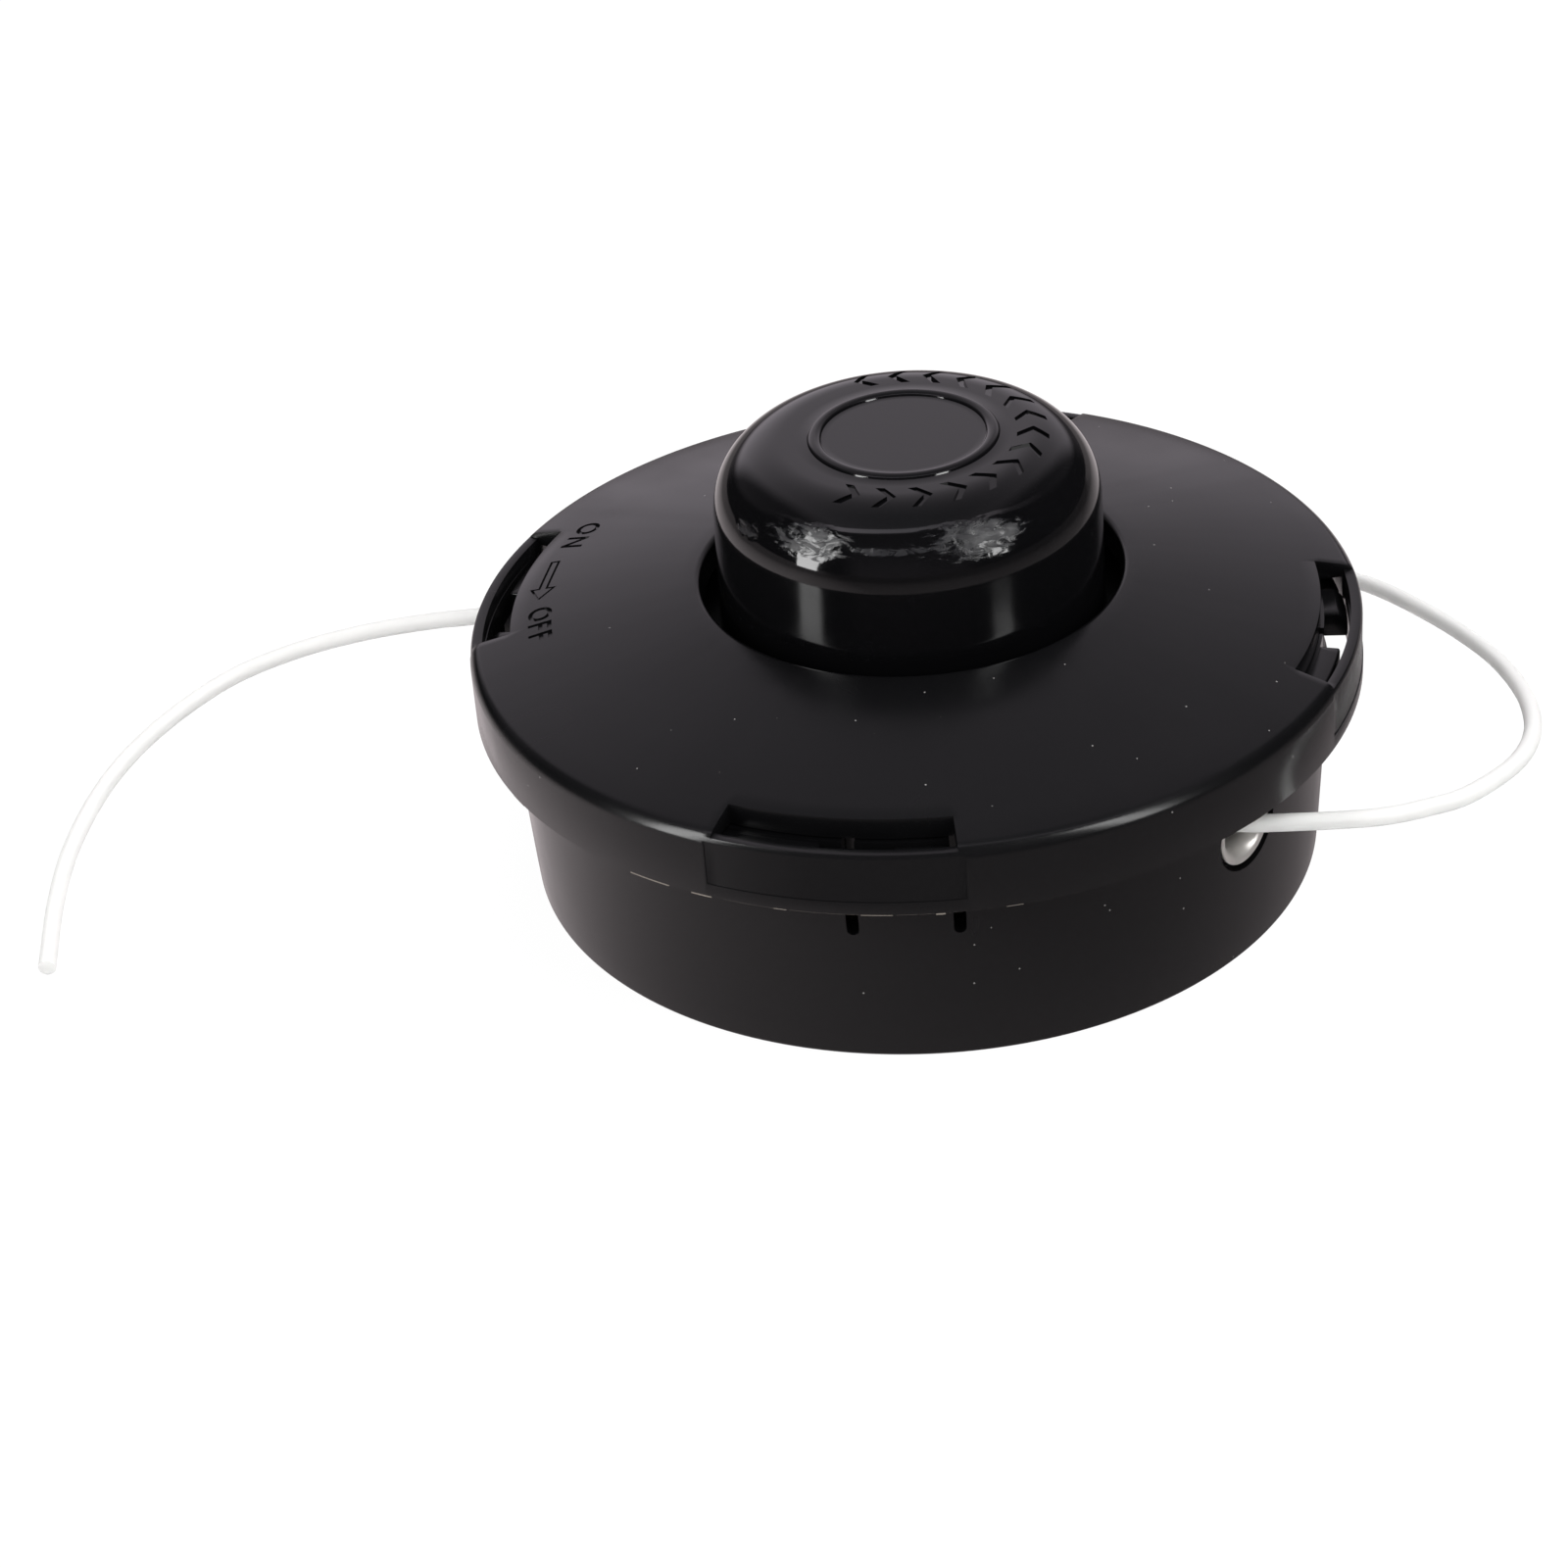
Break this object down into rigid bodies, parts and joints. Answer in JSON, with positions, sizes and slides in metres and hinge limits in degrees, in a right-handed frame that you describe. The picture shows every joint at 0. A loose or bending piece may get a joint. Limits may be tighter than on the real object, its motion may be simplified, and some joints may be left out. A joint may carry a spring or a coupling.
{
  "type": "string trimmer bump feed head",
  "caption": "Round bump-feed line head for a grass trimmer: cup housing, twist-off cover with slots, sprung spool with domed knob, steel line eyelets and nylon cutting line.",
  "frame": {"origin": "on the head's axis, in the plane of the ring that it stands on", "axes": "+Z along the axis of rotation, from the gearbox side towards the bump knob; the windows of the cover lie on X and Y"},
  "size_m": [0.2012, 0.136, 0.0617],
  "materials": {
    "casing": "satin moulded black nylon",
    "knob": "glossy moulded black nylon, scuffed at the shoulder",
    "spool": "moulded black plastic",
    "line": "milky translucent nylon line",
    "steel": "zinc plated",
    "spring": "drawn spring wire"
  },
  "bodies": {
    "housing": {"housing": "casing", "arbor_insert": "steel", "eyelet_a": "steel", "eyelet_b": "steel", "line_end_a": "line", "line_end_b": "line"},
    "cover": {"cover": "casing"},
    "spring_carrier": {"thrust_washer": "steel", "return_spring": "spring"},
    "spool": {"spool": "spool", "bump_knob": "knob", "wound_line": "line"}
  },
  "joints": [
    {"name": "cover_twist", "type": "hinge", "parent": "housing", "child": "cover", "pos_m": [0, 0, 0.03], "axis": [0, 0, 1], "range_deg": [0, 15]},
    {"name": "spool_turn", "type": "hinge", "parent": "housing", "child": "spring_carrier", "pos_m": [0, 0, 0.02], "axis": [0, 0, 1], "continuous": true},
    {"name": "knob_bump", "type": "slide", "parent": "spring_carrier", "child": "spool", "axis": [0, 0, 1], "range_m": [-0.005, 0], "stiffness_N_per_m": 1500, "springref_m": 0.007, "deforming": ["return_spring"]}
  ]
}
